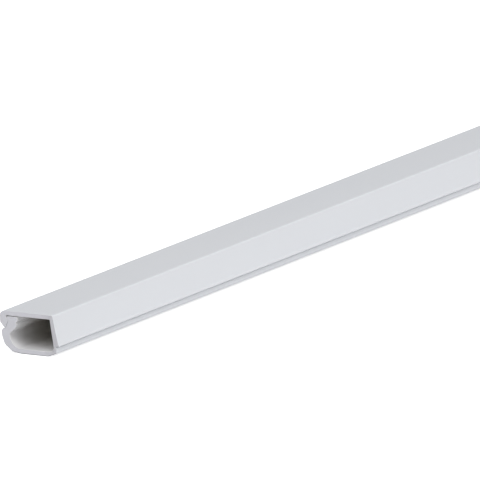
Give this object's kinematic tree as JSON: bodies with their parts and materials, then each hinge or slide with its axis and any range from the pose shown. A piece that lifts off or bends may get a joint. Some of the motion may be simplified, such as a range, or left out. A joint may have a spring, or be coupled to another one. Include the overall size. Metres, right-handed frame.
{
  "type": "cord cover raceway",
  "caption": "Hinged plastic cord cover: a rectangular channel with a flat back, an angled latch edge and a cover that swings on a thin web and snaps shut over cords.",
  "frame": {"origin": "middle of the flat back, halfway along the length, on the face that lies on the wall or floor", "axes": "+X along the length, with the cut end seen in the picture at -X; +Y towards the latch side, so the hinge side is at -Y; +Z out of the back towards the cover"},
  "size_m": [0.4, 0.024, 0.014],
  "materials": {
    "channel_plastic": "satin"
  },
  "bodies": {
    "root": {"raceway_channel": "channel_plastic"}
  },
  "joints": []
}
